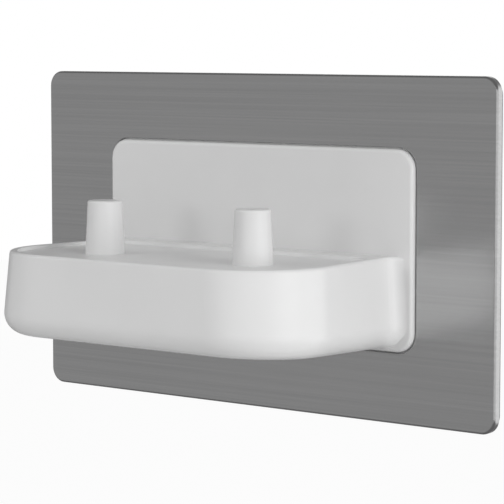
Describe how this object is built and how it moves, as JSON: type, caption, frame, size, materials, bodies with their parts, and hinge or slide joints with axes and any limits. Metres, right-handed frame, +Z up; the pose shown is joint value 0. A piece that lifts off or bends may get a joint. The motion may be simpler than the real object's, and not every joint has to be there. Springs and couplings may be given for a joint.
{
  "type": "in-wall toothbrush charger",
  "caption": "In-wall inductive toothbrush charger: brushed steel plate with a white shelf that carries upright charging pins, and a rear housing with its mains electronics.",
  "frame": {"origin": "midway between the two fixing slots, in the plane of the wall", "axes": "+X to the right seen from the room, +Y into the wall, +Z up"},
  "size_m": [0.146, 0.094, 0.086],
  "materials": {
    "steel_plate": "horizontally brushed stainless steel",
    "white_shell": "white ABS moulding with a soft gloss",
    "white_cover": "white ABS moulding with a soft gloss",
    "black_frame": "black polycarbonate, spark-eroded texture",
    "grey_housing": "grey polycarbonate, fine texture",
    "seal_rubber": "moulded silicone rubber",
    "steel_screw": "zinc-plated steel",
    "stainless_screw": "stainless steel",
    "brass_cage": "nickel-free brass",
    "tinned_clip": "tinned spring brass",
    "terminal_body": "natural polyamide",
    "power_laminate": "paper laminate with a lacquer",
    "coil_laminate": "glass-fibre laminate with green solder mask",
    "ferrite": "sintered ferrite",
    "bobbin_nylon": "glass-filled polyamide",
    "copper_wire": "enamelled copper wire",
    "winding_tape": "yellow polyester tape over the winding",
    "capacitor_sleeve": "shrunk sleeve with a vented aluminium top",
    "film_box": "epoxy-filled yellow box",
    "varistor_coat": "dipped blue epoxy",
    "fuse_cap": "moulded fuse body",
    "chip_epoxy": "black moulding compound",
    "header_nylon": "natural polyamide",
    "wire_jacket": "PVC insulation"
  },
  "bodies": {
    "root": {"face_plate": "steel_plate", "wall_seal": "seal_rubber", "mounting_frame": "black_frame", "panel_seal": "seal_rubber", "front_housing": "white_shell", "shelf_base": "white_cover", "base_seal": "seal_rubber", "base_screws": "stainless_screw", "rear_housing": "grey_housing", "housing_screws": "steel_screw", "terminal_block": "terminal_body", "terminal_cages": "brass_cage", "terminal_screws": "steel_screw", "power_board": "power_laminate", "power_board_screws": "steel_screw", "transformer_core": "ferrite", "transformer_bobbin": "bobbin_nylon", "transformer_winding": "winding_tape", "choke_core": "ferrite", "choke_winding": "copper_wire", "bulk_capacitor": "capacitor_sleeve", "output_capacitor": "capacitor_sleeve", "film_capacitor": "film_box", "varistor": "varistor_coat", "fuse": "fuse_cap", "bridge_rectifier": "chip_epoxy", "controller_chip": "chip_epoxy", "coil_board": "coil_laminate", "coil_board_screws": "steel_screw", "shelf_header": "header_nylon", "board_header": "header_nylon", "link_plugs": "header_nylon", "link_wires": "wire_jacket", "earth_clip": "tinned_clip", "earth_screw": "steel_screw", "coil_bobbin_left": "bobbin_nylon", "coil_bobbin_right": "bobbin_nylon", "coil_winding_left": "copper_wire", "coil_winding_right": "copper_wire", "ferrite_core_left": "ferrite", "ferrite_core_right": "ferrite", "resonance_capacitor_left": "film_box", "resonance_capacitor_right": "film_box", "driver_transistor_left": "chip_epoxy", "driver_transistor_right": "chip_epoxy"}
  },
  "joints": []
}
